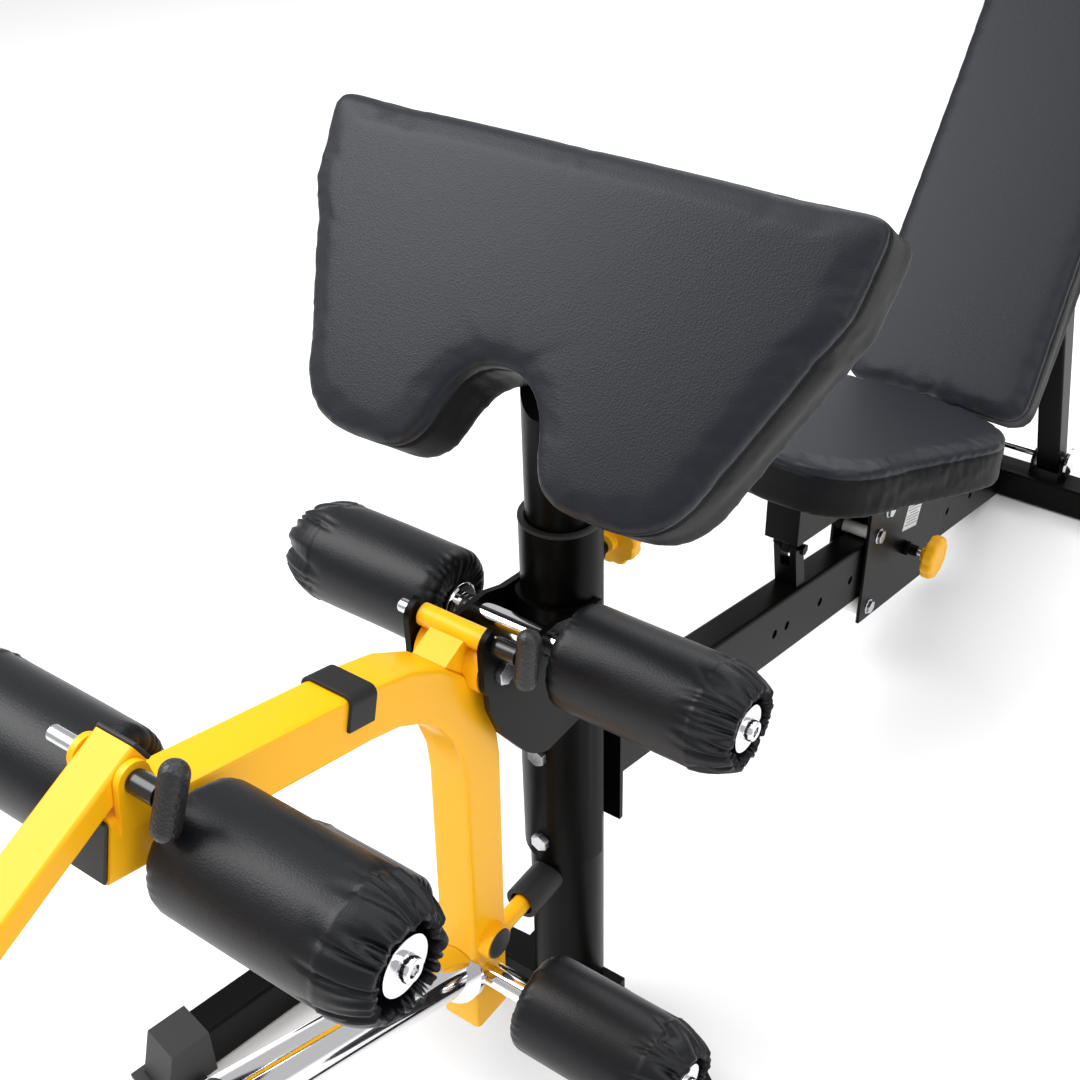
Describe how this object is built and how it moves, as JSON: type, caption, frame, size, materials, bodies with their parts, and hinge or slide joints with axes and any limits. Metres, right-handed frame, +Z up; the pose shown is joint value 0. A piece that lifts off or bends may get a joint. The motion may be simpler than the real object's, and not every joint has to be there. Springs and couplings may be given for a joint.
{
  "type": "adjustable weight bench",
  "caption": "Adjustable weight bench with a sliding seat and reclining back on a sloping rail, a yellow leg developer with roller pads, and a preacher pad on a post.",
  "frame": {"origin": "middle of the footprint, on the floor", "axes": "+Z up, +Y from the leg developer towards the back rest, +X across the bench to the side of the pull handles"},
  "size_m": [0.684, 2.207, 0.9994],
  "materials": {
    "black_paint": "satin black powder coat",
    "yellow_paint": "gloss yellow powder coat",
    "yellow_plastic": "moulded yellow plastic",
    "vinyl": "black grained vinyl over foam",
    "black_plastic": "moulded black plastic",
    "rubber": "matt black rubber",
    "chrome": "polished chrome plate",
    "zinc": "bright zinc plate",
    "nylon": "white nylon"
  },
  "bodies": {
    "frame": {"front_base": "black_paint", "foot_cap_left": "black_plastic", "foot_cap_right": "black_plastic", "front_post": "black_paint", "post_bushing": "black_plastic", "preacher_pin_boss": "black_paint", "main_rail": "black_paint", "rear_crossbar": "black_paint", "crossbar_cap_left": "black_plastic", "crossbar_cap_right": "black_plastic", "leg_bracket": "black_paint", "bracket_bolt_upper": "zinc", "bracket_bolt_lower": "zinc", "lever_pivot_bolt": "zinc", "bumper_cup": "rubber", "upper_shaft": "chrome", "strut_pivot_rod": "chrome"},
    "upper_roller_left": {"upper_roller_left": "vinyl"},
    "upper_roller_right": {"upper_roller_right": "vinyl"},
    "preacher": {"preacher_tube": "black_paint", "preacher_pad": "vinyl"},
    "preacher_pin": {"preacher_plunger": "zinc", "preacher_knob": "yellow_plastic"},
    "lever": {"lever_tube": "yellow_paint", "lever_hinge": "yellow_paint", "arm_band": "rubber", "arm_end_plug": "black_plastic", "weight_sleeve": "chrome", "sleeve_cap": "black_plastic", "front_shaft": "chrome", "lower_shaft": "chrome"},
    "front_roller_left": {"front_roller_left": "vinyl"},
    "front_roller_right": {"front_roller_right": "vinyl"},
    "lower_roller_left": {"lower_roller_left": "vinyl"},
    "lower_roller_right": {"lower_roller_right": "vinyl"},
    "lock_pin": {"lock_pin": "zinc", "lock_pin_handle": "black_plastic"},
    "curl_pin": {"curl_pin": "zinc", "curl_pin_handle": "black_plastic"},
    "curl_arm": {"curl_arm": "yellow_paint", "curl_arm_cap": "black_plastic", "curl_grip_left": "rubber", "curl_grip_right": "rubber"},
    "carriage": {"carriage_plate_left": "black_paint", "carriage_plate_right": "black_paint", "carriage_bolt_front_upper": "zinc", "carriage_bolt_front_lower": "zinc", "seat_pivot_bolt": "zinc", "back_pivot_bolt": "zinc", "carriage_pin_boss": "black_paint"},
    "guide_roller_upper": {"guide_roller_upper": "nylon"},
    "guide_roller_lower": {"guide_roller_lower": "nylon"},
    "carriage_pin": {"carriage_plunger": "zinc", "carriage_knob": "yellow_plastic"},
    "seat": {"seat_tube": "black_paint", "seat_pad": "vinyl"},
    "prop": {"seat_prop": "black_paint"},
    "back": {"back_frame": "black_paint", "back_pad": "vinyl"},
    "strut": {"back_strut": "black_paint"}
  },
  "joints": [
    {"name": "carriage_slide", "type": "slide", "parent": "frame", "child": "carriage", "axis": [0, 0.9664, -0.2571], "range_m": [-0.2, 0.12]},
    {"name": "back_hinge", "type": "hinge", "parent": "carriage", "child": "back", "pos_m": [0, 0.65183, 0.191], "axis": [1, 0, 0], "range_deg": [-27, 18]},
    {"name": "strut_hinge", "type": "hinge", "parent": "frame", "child": "strut", "pos_m": [0, 1.00083, 0.078], "axis": [1, 0, 0], "range_deg": [-10, 16]},
    {"name": "seat_tilt", "type": "hinge", "parent": "carriage", "child": "seat", "pos_m": [0, 0.44483, 0.272], "axis": [-1, 0, 0], "range_deg": [0, 15]},
    {"name": "prop_swing", "type": "hinge", "parent": "seat", "child": "prop", "pos_m": [0, 0.19383, 0.356], "axis": [1, 0, 0], "range_deg": [0, 55]},
    {"name": "lever_swing", "type": "hinge", "parent": "frame", "child": "lever", "pos_m": [0, -0.43017, 0.622], "axis": [-1, 0, 0], "range_deg": [0, 50]},
    {"name": "lock_pin_pull", "type": "slide", "parent": "lever", "child": "lock_pin", "axis": [1, 0, 0], "range_m": [0, 0.1]},
    {"name": "curl_arm_swing", "type": "hinge", "parent": "lever", "child": "curl_arm", "pos_m": [0, -0.77617, 0.775], "axis": [-1, 0, 0], "range_deg": [0, 110]},
    {"name": "curl_pin_pull", "type": "slide", "parent": "lever", "child": "curl_pin", "axis": [1, 0, 0], "range_m": [0, 0.09]},
    {"name": "preacher_height", "type": "slide", "parent": "frame", "child": "preacher", "axis": [0, 0, 1], "range_m": [0, 0.12]},
    {"name": "preacher_pin_pull", "type": "slide", "parent": "frame", "child": "preacher_pin", "axis": [0, 1, 0], "range_m": [0, 0.01], "stiffness_N_per_m": 800, "springref_m": -0.005},
    {"name": "carriage_pin_pull", "type": "slide", "parent": "carriage", "child": "carriage_pin", "axis": [1, 0, 0], "range_m": [0, 0.01], "stiffness_N_per_m": 800, "springref_m": -0.005},
    {"name": "upper_roller_left_spin", "type": "hinge", "parent": "frame", "child": "upper_roller_left", "pos_m": [0, -0.35917, 0.602], "axis": [1, 0, 0], "continuous": true},
    {"name": "front_roller_left_spin", "type": "hinge", "parent": "lever", "child": "front_roller_left", "pos_m": [0, -0.75217, 0.707], "axis": [1, 0, 0], "continuous": true},
    {"name": "lower_roller_left_spin", "type": "hinge", "parent": "lever", "child": "lower_roller_left", "pos_m": [0, -0.45217, 0.247], "axis": [1, 0, 0], "continuous": true},
    {"name": "upper_roller_right_spin", "type": "hinge", "parent": "frame", "child": "upper_roller_right", "pos_m": [0, -0.35917, 0.602], "axis": [1, 0, 0], "continuous": true},
    {"name": "front_roller_right_spin", "type": "hinge", "parent": "lever", "child": "front_roller_right", "pos_m": [0, -0.75217, 0.707], "axis": [1, 0, 0], "continuous": true},
    {"name": "lower_roller_right_spin", "type": "hinge", "parent": "lever", "child": "lower_roller_right", "pos_m": [0, -0.45217, 0.247], "axis": [1, 0, 0], "continuous": true},
    {"name": "guide_roller_upper_spin", "type": "hinge", "parent": "carriage", "child": "guide_roller_upper", "pos_m": [0, 0.41783, 0.2445], "axis": [1, 0, 0], "continuous": true},
    {"name": "guide_roller_lower_spin", "type": "hinge", "parent": "carriage", "child": "guide_roller_lower", "pos_m": [0, 0.41183, 0.128], "axis": [1, 0, 0], "continuous": true}
  ],
  "couplings": [
    {"joint": "back_hinge", "follows": "carriage_slide", "rad_per_m": 2.092},
    {"joint": "strut_hinge", "follows": "carriage_slide", "rad_per_m": -1.131}
  ]
}
